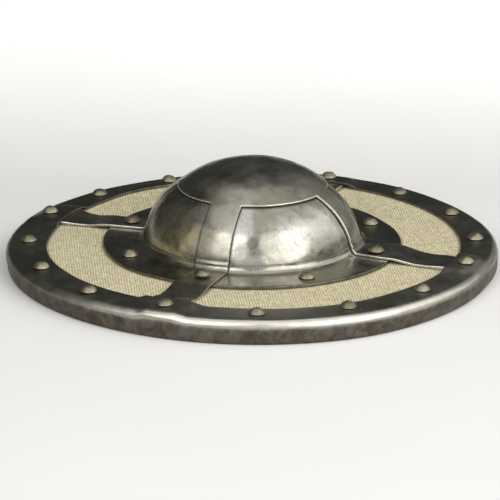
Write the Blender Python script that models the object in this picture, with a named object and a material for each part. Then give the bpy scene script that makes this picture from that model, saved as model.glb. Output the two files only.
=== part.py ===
"""A round buckler that lies on its back, face up.

A canvas-faced wooden board is held in a rolled steel rim. A raised steel boss covers the hand hole,
a steel cross is laid over the boss with its four arms running out under the rim, and domed rivets
hold the layers together. A wooden grip crosses the hand hole, let into the back of the board.

The origin is the middle of the back, on the surface that the rim lies on. +Z is out of the shield's
face, and the four arms of the cross lie along X and Y.
"""

import math

import bmesh
import bpy
from mathutils import Matrix

MM = 0.001
ON_AXIS = 1e-9              # a radius under this is on the axis
HALVINGS = 40               # enough to find a place on a curve to the last digit

# Clearances
LAY_GAP = 0.3 * MM          # between two layers that lie on each other
HOLE_GAP = 0.3 * MM         # between a rivet's shank and its hole
EDGE_GAP = 0.6 * MM         # between the board's edge and the rim
CUT_OVER = 6.0 * MM         # how far a cutter reaches past what it cuts

# Board and facing
SHIELD_RADIUS = 180.0 * MM
BOARD_THICKNESS = 13.0 * MM
CANVAS_THICKNESS = 0.7 * MM
HOLE_LEDGE = 4.0 * MM       # how far the board stands in under the boss's wall
BOARD_TOP_CHAMFER = 4.0 * MM
BOARD_BACK_CHAMFER = 2.0 * MM

# Rim
RIM_SHEET = 1.5 * MM
RIM_WIDTH = 27.5 * MM       # of the flat band and shoulder, seen from above
RIM_SHOULDER = 6.0 * MM     # radius of the rounded upper edge
RIM_HEEL = 3.0 * MM         # radius of the bend at the back
RIM_LIP = 11.0 * MM         # width of the lip turned under the board
SADDLE_RAMP = 9.0 * MM      # length over which the rim climbs onto an arm of the cross
SADDLE_MARGIN = 1.5 * MM    # of raised rim past each side of an arm

# Boss
BOSS_RADIUS = 79.5 * MM     # outer, at the foot of the wall
BOSS_HEIGHT = 60.5 * MM     # outer, above the flange's underside
BOSS_SHEET = 1.8 * MM
BOSS_WALL_POWER = 1.75      # the dome's outline is a power curve: how square its wall stands
BOSS_CROWN_POWER = 2.0      # and how flat its crown is
BOSS_FOOT_FILLET = 4.0 * MM
FLANGE_WIDTH = 30.5 * MM    # from the foot of the wall

# Cross
CROSS_SHEET = 2.2 * MM
CAP_RADIUS = 54.0 * MM      # of the round cap between the arms, seen from above
ARM_WIDTH_AT_CAP = 22.0 * MM
ARM_WIDTH_AT_FOOT = 25.0 * MM
ARM_WIDTH_AT_WAIST = 28.0 * MM
ARM_WIDTH_AT_RIM = 32.0 * MM
ARM_FLARE = 26.0 * MM       # length over which an arm widens to the rim
ARM_TUCK = 19.5 * MM        # length of arm hidden under the rim
JOGGLE_RUN = 10.0 * MM      # length over which an arm steps down off the flange
JOGGLE_LEAD = 1.5 * MM      # of arm past the flange before it steps down

# Rivets
RIVET_HEAD_RADIUS = 6.2 * MM
RIVET_HEAD_HEIGHT = 4.1 * MM
RIVET_SHANK_RADIUS = 2.0 * MM
RIVET_TAIL_RADIUS = 3.4 * MM
RIVET_TAIL_HEIGHT = 1.0 * MM
RIM_RIVET_INSET = 16.0 * MM     # from the shield's edge
BOSS_RIVET_INSET = 13.8 * MM    # from the flange's edge
RIM_RIVETS_PER_ARM = 4
BOSS_RIVETS_PER_ARM = 2
ARMS = 4

# Grip
GRIP_WIDTH = 28.0 * MM
GRIP_THICKNESS = 21.0 * MM
GRIP_END_THICKNESS = 6.0 * MM
GRIP_END_LENGTH = 12.0 * MM     # of grip past the middle of its rivet
GRIP_RISE = 18.0 * MM           # length over which the end swells to full thickness
GRIP_HOLE_CLEARANCE = 3.0 * MM  # from the hole's edge to the swelling
GRIP_CROWN_FLAT = 1.2 * MM      # width of the flat left along the middle of the rounded side
GRIP_CROWN_SHARE = 0.45         # of the thickness that the rounding takes
GRIP_BACK_BEVEL = 3.5 * MM      # on the corners of the back

# How finely round things are cut into flat faces
BOARD_SEGMENTS = 44
CAP_STEPS = 5
WALL_STEPS = 4
FILLET_STEPS = 2
FLARE_STEPS = 5
ARM_COLUMNS = 2
PANEL_COLUMNS = 7
PLATEAU_COLUMNS = 2
RAMP_COLUMNS = 2
RIM_COLUMNS = 10
SHOULDER_STEPS = 3
RIVET_SEGMENTS = 10
RIVET_HEAD_STEPS = 2
GRIP_CROWN_STEPS = 3
GRIP_RISE_STEPS = 4

# Heights of the layers, from the back up
BOARD_BACK_Z = RIM_SHEET + LAY_GAP
BOARD_TOP_Z = BOARD_BACK_Z + BOARD_THICKNESS
CANVAS_BACK_Z = BOARD_TOP_Z + LAY_GAP
CANVAS_TOP_Z = CANVAS_BACK_Z + CANVAS_THICKNESS
RIM_TOP_Z = CANVAS_TOP_Z + LAY_GAP + RIM_SHEET
FLANGE_BACK_Z = CANVAS_TOP_Z + LAY_GAP
FLANGE_TOP_Z = FLANGE_BACK_Z + BOSS_SHEET
SADDLE_RISE = LAY_GAP + CROSS_SHEET

# Radii that follow from the sizes above
FLANGE_RADIUS = BOSS_RADIUS + FLANGE_WIDTH
HOLE_RADIUS = BOSS_RADIUS - BOSS_SHEET - HOLE_LEDGE
RIM_INNER_RADIUS = SHIELD_RADIUS - RIM_WIDTH
BOARD_RADIUS = SHIELD_RADIUS - RIM_SHEET - EDGE_GAP
CANVAS_RADIUS = SHIELD_RADIUS - RIM_SHOULDER
ARM_END_RADIUS = RIM_INNER_RADIUS + ARM_TUCK
RIM_RIVET_RADIUS = SHIELD_RADIUS - RIM_RIVET_INSET
BOSS_RIVET_RADIUS = FLANGE_RADIUS - BOSS_RIVET_INSET
GRIP_END_RADIUS = BOSS_RIVET_RADIUS + GRIP_END_LENGTH
ARM_TURN = 2 * math.pi / ARMS


def clear_scene():
    for old in list(bpy.data.objects):
        bpy.data.objects.remove(old)


def material(name, colour, roughness, metallic):
    made = bpy.data.materials.new(name)
    made.use_nodes = True
    shader = made.node_tree.nodes["Principled BSDF"]
    shader.inputs["Base Color"].default_value = (*colour, 1.0)
    shader.inputs["Roughness"].default_value = roughness
    shader.inputs["Metallic"].default_value = metallic
    return made


def add_object(name, mesh_data, surface, sharp_angle=35.0):
    """Closes a bmesh into an object with its normals facing out, shaded smooth."""
    bmesh.ops.remove_doubles(mesh_data, verts=mesh_data.verts, dist=1e-7)
    bmesh.ops.recalc_face_normals(mesh_data, faces=mesh_data.faces)
    mesh = bpy.data.meshes.new(name)
    mesh_data.to_mesh(mesh)
    mesh_data.free()
    mesh.materials.append(surface)
    mesh.shade_smooth()
    mesh.set_sharp_from_angle(angle=math.radians(sharp_angle))
    made = bpy.data.objects.new(name, mesh)
    bpy.context.scene.collection.objects.link(made)
    return made


def evenly(low, high, steps):
    return [low + (high - low) * i / steps for i in range(steps + 1)]


def smooth(value, low, high):
    """0 below low, 1 above high, with an eased climb between them."""
    t = min(1.0, max(0.0, (value - low) / (high - low)))
    return t * t * (3 - 2 * t)


def arc(centre, radius, start_deg, end_deg, steps):
    """Points (r, z) on an arc in the plane of a profile."""
    return [
        (centre[0] + radius * math.cos(math.radians(a)), centre[1] + radius * math.sin(math.radians(a)))
        for a in evenly(start_deg, end_deg, steps)
    ]


def offset_path(path, distance):
    """The path moved sideways, to the left of its own direction, with mitred corners.

    An end on the shield's axis stays on the axis.
    """
    moved = []
    for i, (r, z) in enumerate(path):
        before = path[max(i - 1, 0)]
        after = path[min(i + 1, len(path) - 1)]
        normals = []
        for start, end in ((before, (r, z)), ((r, z), after)):
            dr, dz = end[0] - start[0], end[1] - start[1]
            length = math.hypot(dr, dz)
            if length > 0:
                normals.append((-dz / length, dr / length))
        nr = sum(n[0] for n in normals) / len(normals)
        nz = sum(n[1] for n in normals) / len(normals)
        if i == 0:
            nr, nz = 0.0, 1.0
        scale = distance / (nr * nr + nz * nz)
        moved.append((r + nr * scale, z + nz * scale))
    return moved


def ring_at(solid, r, z, angles):
    """A row of points at one height and distance from the axis. On the axis it is one point, repeated."""
    if r < ON_AXIS:
        return [solid.verts.new((0.0, 0.0, z))] * len(angles)
    return [solid.verts.new((r * math.cos(a), r * math.sin(a), z)) for a in angles]


def bridge(solid, rows, around):
    """Faces between each row of points and the next. around also joins each row's end to its start."""
    for near, far in zip(rows, rows[1:]):
        for j in range(len(near) if around else len(near) - 1):
            k = (j + 1) % len(near)
            corners = []
            for vert in (near[j], near[k], far[k], far[j]):
                if vert not in corners:
                    corners.append(vert)
            if len(corners) > 2:
                solid.faces.new(corners)


def revolve(profile, angles, closed=True):
    """A solid: a profile of (r, z) points turned about the shield's axis.

    A profile that isn't closed starts and ends on the axis.
    """
    solid = bmesh.new()
    rings = [ring_at(solid, r, z, angles) for r, z in profile]
    bridge(solid, rings + rings[:1] if closed else rings, around=True)
    return solid


def full_turn(segments):
    return [2 * math.pi * j / segments for j in range(segments)]


def rivet_angles(per_arm):
    """The angles of an even ring of rivets, and whether each one stands on an arm."""
    count = ARMS * per_arm
    return [(2 * math.pi * i / count, i % per_arm == 0) for i in range(count)]


def drill(target, circles, low_z, high_z):
    """Punches square rivet holes: circles is a list of (distance from the axis, angle)."""
    cutter = bmesh.new()
    half = RIVET_SHANK_RADIUS + HOLE_GAP
    for distance, angle in circles:
        turn = Matrix.Rotation(angle, 4, "Z")
        place = turn @ Matrix.Translation((distance, 0.0, (low_z + high_z) / 2))
        size = Matrix.Diagonal((2 * half, 2 * half, high_z - low_z, 1.0))
        bmesh.ops.create_cube(cutter, size=1.0, matrix=place @ size)
    subtract(target, cutter, f"{target.name}_holes")


def subtract(target, cutter_mesh, name):
    """Takes a bmesh away from an object, with a Boolean modifier."""
    bmesh.ops.recalc_face_normals(cutter_mesh, faces=cutter_mesh.faces)
    mesh = bpy.data.meshes.new(name)
    cutter_mesh.to_mesh(mesh)
    cutter_mesh.free()
    cutter = bpy.data.objects.new(name, mesh)
    cutter.display_type = "WIRE"
    cutter.hide_render = True
    bpy.context.scene.collection.objects.link(cutter)
    cut = target.modifiers.new(name, "BOOLEAN")
    cut.operation = "DIFFERENCE"
    cut.solver = "EXACT"
    cut.object = cutter


def rim_holes():
    return [(RIM_RIVET_RADIUS, angle) for angle, _ in rivet_angles(RIM_RIVETS_PER_ARM)]


def boss_holes():
    return [(BOSS_RIVET_RADIUS, angle) for angle, _ in rivet_angles(BOSS_RIVETS_PER_ARM)]


def arm_holes():
    """The rivets that go through the cross, two on each arm."""
    along = (BOSS_RIVET_RADIUS, RIM_RIVET_RADIUS)
    return [(distance, ARM_TURN * arm) for arm in range(ARMS) for distance in along]


def make_board(surface):
    """The wooden disc, with the hand hole, the rivet holes and the recess for the grip."""
    profile = [
        (HOLE_RADIUS, BOARD_BACK_Z),
        (HOLE_RADIUS, BOARD_TOP_Z),
        (BOARD_RADIUS - BOARD_TOP_CHAMFER, BOARD_TOP_Z),
        (BOARD_RADIUS, BOARD_TOP_Z - BOARD_TOP_CHAMFER),
        (BOARD_RADIUS, BOARD_BACK_Z + BOARD_BACK_CHAMFER),
        (BOARD_RADIUS - BOARD_BACK_CHAMFER, BOARD_BACK_Z),
    ]
    board = add_object("board", revolve(profile, full_turn(BOARD_SEGMENTS)), surface)
    recess = bmesh.new()
    depth = GRIP_END_THICKNESS + LAY_GAP + CUT_OVER
    size = Matrix.Diagonal((GRIP_WIDTH + 2 * LAY_GAP, 2 * (GRIP_END_RADIUS + LAY_GAP), depth, 1.0))
    place = Matrix.Translation((0.0, 0.0, BOARD_BACK_Z - CUT_OVER + depth / 2))
    bmesh.ops.create_cube(recess, size=1.0, matrix=place @ size)
    subtract(board, recess, "board_recess")
    drill(board, rim_holes() + boss_holes(), BOARD_BACK_Z - CUT_OVER, BOARD_TOP_Z + CUT_OVER)


def make_canvas(surface):
    """The linen glued over the board's face."""
    profile = [
        (HOLE_RADIUS, CANVAS_BACK_Z),
        (HOLE_RADIUS, CANVAS_TOP_Z),
        (CANVAS_RADIUS, CANVAS_TOP_Z),
        (CANVAS_RADIUS, CANVAS_BACK_Z),
    ]
    canvas = add_object("canvas_facing", revolve(profile, full_turn(BOARD_SEGMENTS)), surface)
    drill(canvas, rim_holes() + boss_holes(), CANVAS_BACK_Z - CUT_OVER, CANVAS_TOP_Z + CUT_OVER)


def dome_point(share):
    """A point on the outside of the boss. share goes from 0 at the crown to 1 at the foot."""
    angle = math.pi / 2 * (1 - share)
    r = BOSS_RADIUS * max(0.0, math.cos(angle)) ** (2 / BOSS_WALL_POWER)
    z = FLANGE_BACK_Z + BOSS_HEIGHT * math.sin(angle) ** (2 / BOSS_CROWN_POWER)
    return r, z


def cap_share():
    """How far down the dome the round cap of the cross ends, found by halving."""
    low, high = 0.0, 1.0
    for _ in range(HALVINGS):
        middle = (low + high) / 2
        if dome_point(middle)[0] < CAP_RADIUS:
            low = middle
        else:
            high = middle
    return high


def dome_path():
    """The outside of the boss from its crown to the foot of its wall, with a point at the cap's edge."""
    edge = cap_share()
    cap = [dome_point(share) for share in evenly(0.0, edge, CAP_STEPS)]
    cap[0] = (0.0, cap[0][1])
    centre = (BOSS_RADIUS + BOSS_FOOT_FILLET, FLANGE_TOP_Z + BOSS_FOOT_FILLET)
    wall = [dome_point(share) for share in evenly(edge, 1.0, WALL_STEPS)[1:]]
    wall = [point for point in wall if point[1] > centre[1]]
    return cap + wall + arc(centre, BOSS_FOOT_FILLET, 180, 270, FILLET_STEPS)


def make_boss(surface):
    """The raised bowl over the hand hole, with its flange."""
    outside = dome_path() + [(FLANGE_RADIUS, FLANGE_TOP_Z)]
    inside = offset_path(outside, -BOSS_SHEET)
    boss = add_object("boss", revolve(outside + inside[::-1], cross_angles(CAP_RADIUS)), surface)
    drill(boss, boss_holes(), FLANGE_BACK_Z - CUT_OVER, FLANGE_TOP_Z + CUT_OVER)


def cross_path():
    """What the cross lies on, from the crown to under the rim."""
    dome = dome_path()
    step = FLANGE_RADIUS + JOGGLE_LEAD
    canvas = step + JOGGLE_RUN
    flange = [(r, FLANGE_TOP_Z) for r in evenly(dome[-1][0], step, 2)[1:]]
    flat = [(r, CANVAS_TOP_Z) for r in evenly(canvas, RIM_INNER_RADIUS, FLARE_STEPS)]
    return dome + flange + flat + [(ARM_END_RADIUS, CANVAS_TOP_Z)]


def arm_half_width(r):
    """Half the width of an arm where it is r from the shield's axis."""
    foot = smooth(r, CAP_RADIUS, BOSS_RADIUS)
    waist = smooth(r, BOSS_RADIUS, FLANGE_RADIUS)
    rim = smooth(r, RIM_INNER_RADIUS - ARM_FLARE, RIM_INNER_RADIUS)
    width = ARM_WIDTH_AT_CAP
    width += (ARM_WIDTH_AT_FOOT - ARM_WIDTH_AT_CAP) * foot
    width += (ARM_WIDTH_AT_WAIST - ARM_WIDTH_AT_FOOT) * waist
    width += (ARM_WIDTH_AT_RIM - ARM_WIDTH_AT_WAIST) * rim ** 2
    return width / 2


def arm_angles(r):
    """The angles, from an arm's middle, of the columns of points across it."""
    half = math.asin(arm_half_width(r) / r)
    return evenly(-half, half, ARM_COLUMNS)


def cross_angles(r):
    """All the angles of the cap's outer ring, arm by arm: first across the arm, then across the panel."""
    across = arm_angles(r)
    angles = []
    for arm in range(ARMS):
        middle = ARM_TURN * arm
        angles += [middle + a for a in across]
        angles += [middle + a for a in evenly(across[-1], ARM_TURN + across[0], PANEL_COLUMNS)[1:-1]]
    return angles


def cross_layer(sheet, path, base):
    """One face of the cross. Gives the cap's outer ring, and each arm's rows of points."""
    angles = cross_angles(CAP_RADIUS)
    rings = [ring_at(sheet, r, z, angles) for r, z in path[:CAP_STEPS + 1]]
    bridge(sheet, rings, around=True)
    arms = []
    for arm in range(ARMS):
        first = arm * (ARM_COLUMNS + PANEL_COLUMNS)
        rows = [rings[-1][first:first + ARM_COLUMNS + 1]]
        for (r, z), (foot, _) in zip(path[CAP_STEPS + 1:], base[CAP_STEPS + 1:]):
            rows.append(ring_at(sheet, r, z, [ARM_TURN * arm + a for a in arm_angles(foot)]))
        bridge(sheet, rows, around=False)
        arms.append(rows)
    return rings[-1], arms


def make_cross(surface):
    """The round cap with four arms, one sheet dressed down over the boss."""
    base = cross_path()
    sheet = bmesh.new()
    back = offset_path(base, LAY_GAP)
    face = offset_path(base, LAY_GAP + CROSS_SHEET)
    low_edge, low_arms = cross_layer(sheet, back, base)
    high_edge, high_arms = cross_layer(sheet, face, base)
    for arm in range(ARMS):
        first = arm * (ARM_COLUMNS + PANEL_COLUMNS) + ARM_COLUMNS
        panel = [(first + j) % len(low_edge) for j in range(PANEL_COLUMNS + 1)]
        bridge(sheet, ([low_edge[j] for j in panel], [high_edge[j] for j in panel]), around=False)
        low, high = low_arms[arm], high_arms[arm]
        for side in (0, -1):
            bridge(sheet, ([row[side] for row in low], [row[side] for row in high]), around=False)
        bridge(sheet, (low[-1], high[-1]), around=False)
    cross = add_object("cross", sheet, surface)
    drill(cross, arm_holes(), CANVAS_TOP_Z - CUT_OVER, FLANGE_TOP_Z + CROSS_SHEET + CUT_OVER)


def rim_profile():
    """The rim's section: a flat band, a rounded shoulder, a wall and a lip turned under the board."""
    shoulder = (SHIELD_RADIUS - RIM_SHOULDER, RIM_TOP_Z - RIM_SHOULDER)
    heel = (SHIELD_RADIUS - RIM_HEEL, RIM_HEEL)
    lip = SHIELD_RADIUS - RIM_LIP
    outside = [(RIM_INNER_RADIUS, RIM_TOP_Z)]
    outside += arc(shoulder, RIM_SHOULDER, 90, 0, SHOULDER_STEPS)
    outside += arc(heel, RIM_HEEL, 0, -90, 1)
    outside += [(lip, 0.0)]
    inside = [(lip, RIM_SHEET), (SHIELD_RADIUS - RIM_SHEET, RIM_SHEET)]
    inside += arc(shoulder, RIM_SHOULDER - RIM_SHEET, 0, 90, 1)
    inside += [(RIM_INNER_RADIUS, RIM_TOP_Z - RIM_SHEET)]
    return outside + inside


def saddle_half_angle():
    """The half angle of raised rim over an arm."""
    return (ARM_WIDTH_AT_RIM / 2 + SADDLE_MARGIN) / RIM_INNER_RADIUS


def ramp_angle():
    return SADDLE_RAMP / RIM_INNER_RADIUS


def rim_angles():
    """Angles round the rim, closer together where it climbs onto an arm of the cross."""
    flat = saddle_half_angle()
    foot = flat + ramp_angle()
    angles = []
    for arm in range(ARMS):
        middle = ARM_TURN * arm
        offsets = evenly(-flat, flat, PLATEAU_COLUMNS)[:-1]
        offsets += evenly(flat, foot, RAMP_COLUMNS)[:-1]
        offsets += evenly(foot, ARM_TURN - foot, RIM_COLUMNS)[:-1]
        offsets += evenly(ARM_TURN - foot, ARM_TURN - flat, RAMP_COLUMNS)[:-1]
        angles += [middle + a for a in offsets]
    return angles


def saddle_rise(angle):
    """How far the rim is raised at this angle."""
    off = abs((angle + ARM_TURN / 2) % ARM_TURN - ARM_TURN / 2)
    flat = saddle_half_angle()
    return SADDLE_RISE * (1 - smooth(off, flat, flat + ramp_angle()))


def make_rim(surface):
    """The rolled steel rim, dressed up over the ends of the cross's arms."""
    solid = revolve(rim_profile(), rim_angles())
    for vert in solid.verts:
        share = smooth(vert.co.z, RIM_HEEL, RIM_TOP_Z - RIM_SHOULDER)
        vert.co.z += saddle_rise(math.atan2(vert.co.y, vert.co.x)) * share
    rim = add_object("rim_band", solid, surface)
    drill(rim, rim_holes(), RIM_TOP_Z - RIM_SHEET - CUT_OVER, RIM_TOP_Z + SADDLE_RISE + CUT_OVER)


def rivet_profile(seat_z, tail_z):
    """A rivet's section. seat_z is under its head and tail_z on top of its hammered tail."""
    curve = (RIVET_HEAD_RADIUS ** 2 + RIVET_HEAD_HEIGHT ** 2) / (2 * RIVET_HEAD_HEIGHT)
    centre = (0.0, seat_z + RIVET_HEAD_HEIGHT - curve)
    low = math.degrees(math.asin((curve - RIVET_HEAD_HEIGHT) / curve))
    head = arc(centre, curve, low, 90, RIVET_HEAD_STEPS)
    head[-1] = (0.0, seat_z + RIVET_HEAD_HEIGHT)
    tail = [(0.0, tail_z - RIVET_TAIL_HEIGHT), (RIVET_TAIL_RADIUS, tail_z)]
    return tail + [(RIVET_SHANK_RADIUS, tail_z), (RIVET_SHANK_RADIUS, seat_z)] + head


def make_rivets(name, distance, per_arm, seat_z, surface):
    """A ring of rivets through the board. Those on an arm of the cross stand higher."""
    tail_z = BOARD_BACK_Z - LAY_GAP
    shapes = {}
    for number, (angle, on_arm) in enumerate(rivet_angles(per_arm), start=1):
        seat = seat_z + LAY_GAP + (SADDLE_RISE if on_arm else 0.0)
        label = f"{name}_{number:02d}"
        if on_arm in shapes:
            rivet = bpy.data.objects.new(label, shapes[on_arm])
            bpy.context.scene.collection.objects.link(rivet)
        else:
            turned = revolve(rivet_profile(seat, tail_z), full_turn(RIVET_SEGMENTS), closed=False)
            rivet = add_object(label, turned, surface)
            shapes[on_arm] = rivet.data
        rivet.location = (distance * math.cos(angle), distance * math.sin(angle), 0.0)
        rivet.rotation_euler = (0.0, 0.0, angle)


def grip_swell():
    """How far from the shield's middle the grip starts to swell, inside the hand hole."""
    return math.sqrt(HOLE_RADIUS ** 2 - (GRIP_WIDTH / 2) ** 2) - GRIP_HOLE_CLEARANCE


def grip_section(y):
    """The grip's outline at one place along it. It is square at the ends and rounded where it is thick."""
    thick = 1 - smooth(abs(y), grip_swell() - GRIP_RISE, grip_swell())
    height = GRIP_END_THICKNESS + (GRIP_THICKNESS - GRIP_END_THICKNESS) * thick
    half = GRIP_WIDTH / 2
    low, high = BOARD_BACK_Z, BOARD_BACK_Z + height
    crown_in = thick * (half - GRIP_CROWN_FLAT / 2)
    crown_down = thick * height * GRIP_CROWN_SHARE
    bevel = thick * GRIP_BACK_BEVEL
    side = [(half - bevel, low), (half, low + bevel)]
    for a in evenly(0, 90, GRIP_CROWN_STEPS):
        turn = math.radians(a)
        side.append((half - crown_in * (1 - math.cos(turn)), high - crown_down * (1 - math.sin(turn))))
    return side + [(-x, z) for x, z in side[::-1]]


def make_grip(surface):
    """The wooden bar across the hand hole, with thin ends let into the board."""
    swell = grip_swell()
    stations = [GRIP_END_RADIUS] + evenly(swell, swell - GRIP_RISE, GRIP_RISE_STEPS) + [0.0]
    stations += [-y for y in stations[-2::-1]]
    solid = bmesh.new()
    rows = [[solid.verts.new((x, y, z)) for x, z in grip_section(y)] for y in stations]
    bridge(solid, rows, around=True)
    solid.faces.new(rows[0])
    solid.faces.new(rows[-1])
    grip = add_object("grip", solid, surface)
    ends = [(BOSS_RIVET_RADIUS, math.pi / 2), (BOSS_RIVET_RADIUS, -math.pi / 2)]
    drill(grip, ends, BOARD_BACK_Z - CUT_OVER, BOARD_BACK_Z + GRIP_END_THICKNESS + CUT_OVER)


def main():
    clear_scene()
    steel = material("satin_steel", (0.36, 0.35, 0.32), 0.30, 1.0)
    rivet_steel = material("rivet_steel", (0.60, 0.57, 0.48), 0.42, 1.0)
    linen = material("linen", (0.60, 0.55, 0.41), 0.90, 0.0)
    wood = material("bare_wood", (0.42, 0.27, 0.15), 0.70, 0.0)
    grip_wood = material("oiled_wood", (0.20, 0.10, 0.05), 0.55, 0.0)
    make_board(wood)
    make_canvas(linen)
    make_boss(steel)
    make_cross(steel)
    make_rim(steel)
    make_grip(grip_wood)
    make_rivets("rim_rivet", RIM_RIVET_RADIUS, RIM_RIVETS_PER_ARM, RIM_TOP_Z, rivet_steel)
    make_rivets("boss_rivet", BOSS_RIVET_RADIUS, BOSS_RIVETS_PER_ARM, FLANGE_TOP_Z, rivet_steel)


main()
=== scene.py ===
import math

import bmesh
import bpy
from mathutils import Matrix, Vector, noise


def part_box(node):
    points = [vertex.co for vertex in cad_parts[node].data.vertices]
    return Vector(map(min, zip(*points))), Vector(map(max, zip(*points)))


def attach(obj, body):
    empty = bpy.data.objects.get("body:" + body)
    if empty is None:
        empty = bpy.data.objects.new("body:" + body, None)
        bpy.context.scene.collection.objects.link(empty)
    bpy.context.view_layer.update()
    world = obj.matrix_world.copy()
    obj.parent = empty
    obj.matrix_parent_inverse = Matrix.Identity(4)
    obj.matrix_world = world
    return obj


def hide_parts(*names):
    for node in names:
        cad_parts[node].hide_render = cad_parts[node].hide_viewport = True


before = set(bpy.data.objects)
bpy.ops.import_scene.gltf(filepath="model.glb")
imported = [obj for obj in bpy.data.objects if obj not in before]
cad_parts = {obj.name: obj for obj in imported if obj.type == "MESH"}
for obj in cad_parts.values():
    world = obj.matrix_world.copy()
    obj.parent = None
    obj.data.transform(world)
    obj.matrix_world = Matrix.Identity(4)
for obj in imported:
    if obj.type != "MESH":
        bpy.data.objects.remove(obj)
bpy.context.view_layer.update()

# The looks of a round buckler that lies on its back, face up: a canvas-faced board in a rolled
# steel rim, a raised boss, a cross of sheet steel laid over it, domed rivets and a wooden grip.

MM = 0.001
ON_AXIS = 1e-9  # a radius under this is on the axis
HALVINGS = 40  # enough to find a place on a curve to the last digit


def reach(node):
    """The smallest and the largest distance of a node's points from the shield's axis."""
    away = [math.hypot(v.co.x, v.co.y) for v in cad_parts[node].data.vertices]
    return min(away), max(away)


# Sizes that follow from the frame
RIM_INNER_RADIUS, SHIELD_RADIUS = reach("rim_band")
HOLE_RADIUS, CANVAS_RADIUS = reach("canvas_facing")
BOARD_RADIUS = reach("board")[1]
FLANGE_RADIUS = reach("boss")[1]
ARM_END_RADIUS = reach("cross")[1]
BOARD_BACK_Z, BOARD_TOP_Z = (corner.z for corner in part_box("board"))
CANVAS_BACK_Z, CANVAS_TOP_Z = (corner.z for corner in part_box("canvas_facing"))
FLANGE_BACK_Z, CROWN_Z = (corner.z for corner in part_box("boss"))
LAY_GAP = CANVAS_BACK_Z - BOARD_TOP_Z
RIM_SHEET = BOARD_BACK_Z - LAY_GAP
RIM_TOP_Z = FLANGE_BACK_Z + RIM_SHEET
SADDLE_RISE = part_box("rim_band")[1].z - RIM_TOP_Z
CROSS_SHEET = SADDLE_RISE - LAY_GAP

# The boss. The dome's outline is a power curve.
BOSS_RADIUS = 79.5 * MM
BOSS_SHEET = 1.8 * MM
BOSS_HEIGHT = CROWN_Z - FLANGE_BACK_Z
BOSS_WALL_POWER = 1.75  # how square its wall stands
BOSS_CROWN_POWER = 2.0  # how flat its crown is
BOSS_FOOT_FILLET = 5.5 * MM
FLANGE_TOP_Z = FLANGE_BACK_Z + BOSS_SHEET
FLANGE_TRUE_RADIUS = 95.0 * MM  # inside this, the flange is round
LIGHT_DENTS = 0.06 * MM  # on the flange
DEEP_DENTS = 0.24 * MM  # more, on the dome
FOOT_RIPPLE = 0.22 * MM
DOME_FROM = (FLANGE_TOP_Z + 1 * MM, FLANGE_TOP_Z + 9 * MM)
RIPPLE_END_Z = FLANGE_TOP_Z + 18 * MM

# The cross
CAP_RADIUS = 54.0 * MM
CAP_LAP = 6.0 * MM  # how far in under the cap the boss's fine rings begin
ARMS = 4
ARM_TURN = 2 * math.pi / ARMS
JOGGLE_RUN = 19.0 * MM  # length over which an arm steps down off the flange
JOGGLE_LEAD = 1.5 * MM  # of arm past the flange before it steps down

# The rim
RIM_SHOULDER = 6.0 * MM  # radius of the inside's bend, with the sheet's thickness
RIM_CREST = 5.5 * MM  # radius of the outside's bend
RIM_HEEL = 3.0 * MM
RIM_LIP = 11.0 * MM
BAND_MIDDLE = 163.0 * MM  # the inner edge's waver ends here, and the outer side's begins
LEAN_HEIGHT = 12.0 * MM  # how high the foot's lean inwards reaches
# Where the crest is rubbed bright, which is partly a painted highlight
CREST_RUB_AND_HIGHLIGHT_R = (SHIELD_RADIUS - 6 * MM, SHIELD_RADIUS - 3 * MM)
CREST_RUB_AND_HIGHLIGHT_Z = (9 * MM, 12 * MM)
# The wall is tarnished and painted with shade, for the bright floor it would show, all over up to
# the first height in mm and not at all above the second. Where the edge is dull, each is higher by
# its second number.
TARNISH_AND_SHADE_HEIGHTS = ((8.8, 1.5), (16.0, 1.6))

# The hand-made rim isn't quite round. Each list has (direction in degrees, mm outwards) round the
# shield, for the inner edge, the outer side, the boss's flange, and the lean inwards of the foot.
RIM_INNER_WAVER = (
    (0, 0.9), (30, 0.1), (60, 0.5), (80, 1.3), (100, 1.4), (140, 1.4), (152, 0.2), (163, -3.4), (180, -3.6),
    (197, -3.0), (207, -1.4), (225, -0.7), (255, -1.0), (275, -0.4), (288, 0.2), (298, 2.1), (315, 3.7),
    (330, 2.1), (345, 1.2), (360, 0.9),
)
RIM_OUTER_WAVER = (
    (0, -0.7), (25, 0.2), (45, -0.7), (60, -0.4), (75, 1.6), (90, 1), (115, -1), (135, -3.5), (150, -3.5),
    (165, -2.8), (180, -0.9), (205, 0.7), (225, -0.2), (245, -1.6), (262, -1.3), (280, 0), (300, 1.4),
    (317, 2.4), (335, 0.7), (360, -0.7),
)
FLANGE_WAVER = (
    (0, -0.5), (20, -1), (35, -1.7), (47, -2.5), (60, -1.5), (75, -1), (100, 0), (180, -0.4), (215, -0.5),
    (235, 0.6), (245, 0.5), (255, -0.6), (290, 0), (330, 0.8), (350, 0.4), (360, -0.5),
)
RIM_LEAN = (
    (0, 1.2), (20, 0), (165, 0), (180, 0.8), (200, 1.2), (225, 0.7), (250, 0.2), (270, 0.2), (300, 0.4),
    (330, 0.8), (350, 0.9), (360, 1.0),
)
# How far the band sags towards the edge in mm, and how dull the edge is, from 0 to 1. The
# dullness is partly tarnished steel and partly painted shade: it darkens the wall and dims the
# crest's painted highlight.
RIM_SAG = (
    (0, 0.9), (30, 0.5), (200, 0.6), (235, 0.8), (265, 0), (300, 0.2), (330, 0.5), (350, 1.0), (360, 0.9),
)
RIM_TARNISH_AND_SHADE = (
    (0, 0.75), (60, 0.8), (170, 1), (215, 1), (240, 0.6), (262, 0), (328, 0), (346, 0.5), (360, 0.8),
)

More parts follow.
